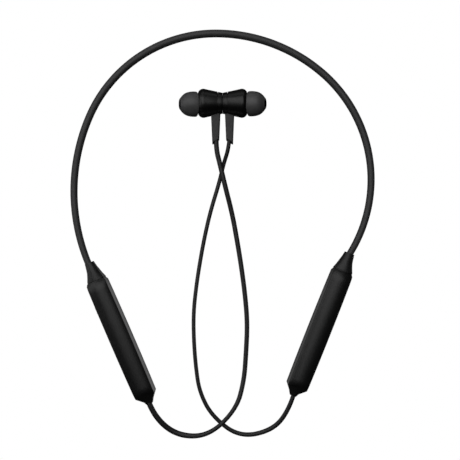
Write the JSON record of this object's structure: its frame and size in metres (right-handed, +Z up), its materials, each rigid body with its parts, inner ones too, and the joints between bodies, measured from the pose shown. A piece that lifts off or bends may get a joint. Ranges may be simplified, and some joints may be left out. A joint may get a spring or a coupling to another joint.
{
  "type": "neckband earphones",
  "caption": "Springy neckband with a pod at each end and two magnetic in-ear buds on thin crossing cords.",
  "frame": {"origin": "on the table under the middle of the object's box, cords left out, with the object lying flat", "axes": "+Z up from the table, +Y towards the back of the neckband, +X towards the battery pod"},
  "size_m": [0.1518, 0.2046, 0.014],
  "materials": {
    "sleeve_silicone": "satin silicone",
    "spring_wire": "bare spring wire",
    "cable_jacket": "smooth",
    "cord_jacket": "satin",
    "circuit_board": "solder mask",
    "switch_metal": "plain",
    "socket_metal": "plated",
    "light_pipe": "clear moulding",
    "cell_foil": "laminated foil",
    "foam": "soft foam",
    "pod_shell": "soft-touch satin",
    "boot_rubber": "matte",
    "bud_metal": "anodised satin black",
    "magnet": "nickel plated",
    "driver_plastic": "plain",
    "coil_copper": "enamelled copper",
    "mesh_steel": "fine mesh",
    "stem_rubber": "matte",
    "tip_silicone": "matte silicone",
    "button_plastic": "satin"
  },
  "bodies": {
    "neckband": {"neckband_sleeve": "sleeve_silicone", "memory_wire": "spring_wire", "interpod_cable": "cable_jacket", "left_cord": "cord_jacket", "right_cord": "cord_jacket"},
    "left_arm": {"left_pod_top_shell": "pod_shell", "left_pod_bottom_shell": "pod_shell", "left_band_boot": "boot_rubber", "left_cord_boot": "boot_rubber", "main_circuit_board": "circuit_board", "tact_switches": "switch_metal", "usb_c_socket": "socket_metal", "microphone": "switch_metal", "bluetooth_module": "switch_metal", "led_light_pipe": "light_pipe"},
    "right_arm": {"right_pod_top_shell": "pod_shell", "right_pod_bottom_shell": "pod_shell", "right_band_boot": "boot_rubber", "right_cord_boot": "boot_rubber", "battery_cell": "cell_foil", "battery_foam_pad": "foam", "battery_protection_board": "circuit_board"},
    "volume_up": {"volume_up_button": "button_plastic"},
    "multifunction": {"multifunction_button": "button_plastic"},
    "volume_down": {"volume_down_button": "button_plastic"},
    "left_bud": {"left_bud_front_housing": "bud_metal", "left_bud_back_housing": "bud_metal", "left_bud_back_cap": "bud_metal", "left_coupling_magnet": "magnet", "left_driver_frame": "driver_plastic", "left_driver_magnet": "magnet", "left_driver_voice_coil": "coil_copper", "left_driver_diaphragm": "driver_plastic", "left_driver_gasket": "foam", "left_nozzle_mesh": "mesh_steel", "left_bud_stem": "stem_rubber"},
    "left_tip": {"left_ear_tip": "tip_silicone"},
    "right_bud": {"right_bud_front_housing": "bud_metal", "right_bud_back_housing": "bud_metal", "right_bud_back_cap": "bud_metal", "right_coupling_magnet": "magnet", "right_driver_frame": "driver_plastic", "right_driver_magnet": "magnet", "right_driver_voice_coil": "coil_copper", "right_driver_diaphragm": "driver_plastic", "right_driver_gasket": "foam", "right_nozzle_mesh": "mesh_steel", "right_bud_stem": "stem_rubber"},
    "right_tip": {"right_ear_tip": "tip_silicone"}
  },
  "joints": [
    {"name": "left_arm_flex", "type": "hinge", "parent": "neckband", "child": "left_arm", "pos_m": [-0.05557, 0.06843, 0.005], "axis": [0, 0, -1], "range_deg": [-5, 12], "stiffness_Nm_per_rad": 0.12, "deforming": ["neckband_sleeve", "memory_wire", "interpod_cable", "left_cord"]},
    {"name": "right_arm_flex", "type": "hinge", "parent": "neckband", "child": "right_arm", "pos_m": [0.05003, 0.07223, 0.005], "axis": [0, 0, 1], "range_deg": [-5, 12], "stiffness_Nm_per_rad": 0.12, "deforming": ["neckband_sleeve", "memory_wire", "interpod_cable", "right_cord"]},
    {"name": "volume_up_press", "type": "slide", "parent": "left_arm", "child": "volume_up", "axis": [0.9178, 0.3971, 0], "range_m": [0, 0.00035], "stiffness_N_per_m": 4000},
    {"name": "multifunction_press", "type": "slide", "parent": "left_arm", "child": "multifunction", "axis": [0.9178, 0.3971, 0], "range_m": [0, 0.00035], "stiffness_N_per_m": 4000},
    {"name": "volume_down_press", "type": "slide", "parent": "left_arm", "child": "volume_down", "axis": [0.9178, 0.3971, 0], "range_m": [0, 0.00035], "stiffness_N_per_m": 4000},
    {"name": "left_bud_pull", "type": "slide", "parent": "neckband", "child": "left_bud", "axis": [-1, 0, 0], "range_m": [0, 0.02], "deforming": ["left_cord"]},
    {"name": "left_tip_pull", "type": "slide", "parent": "left_bud", "child": "left_tip", "axis": [-0.9744, -0.0235, 0.2237], "range_m": [0, 0.008]},
    {"name": "right_bud_pull", "type": "slide", "parent": "neckband", "child": "right_bud", "axis": [1, 0, 0], "range_m": [0, 0.02], "deforming": ["right_cord"]},
    {"name": "right_tip_pull", "type": "slide", "parent": "right_bud", "child": "right_tip", "axis": [0.9744, -0.0235, 0.2237], "range_m": [0, 0.008]}
  ]
}
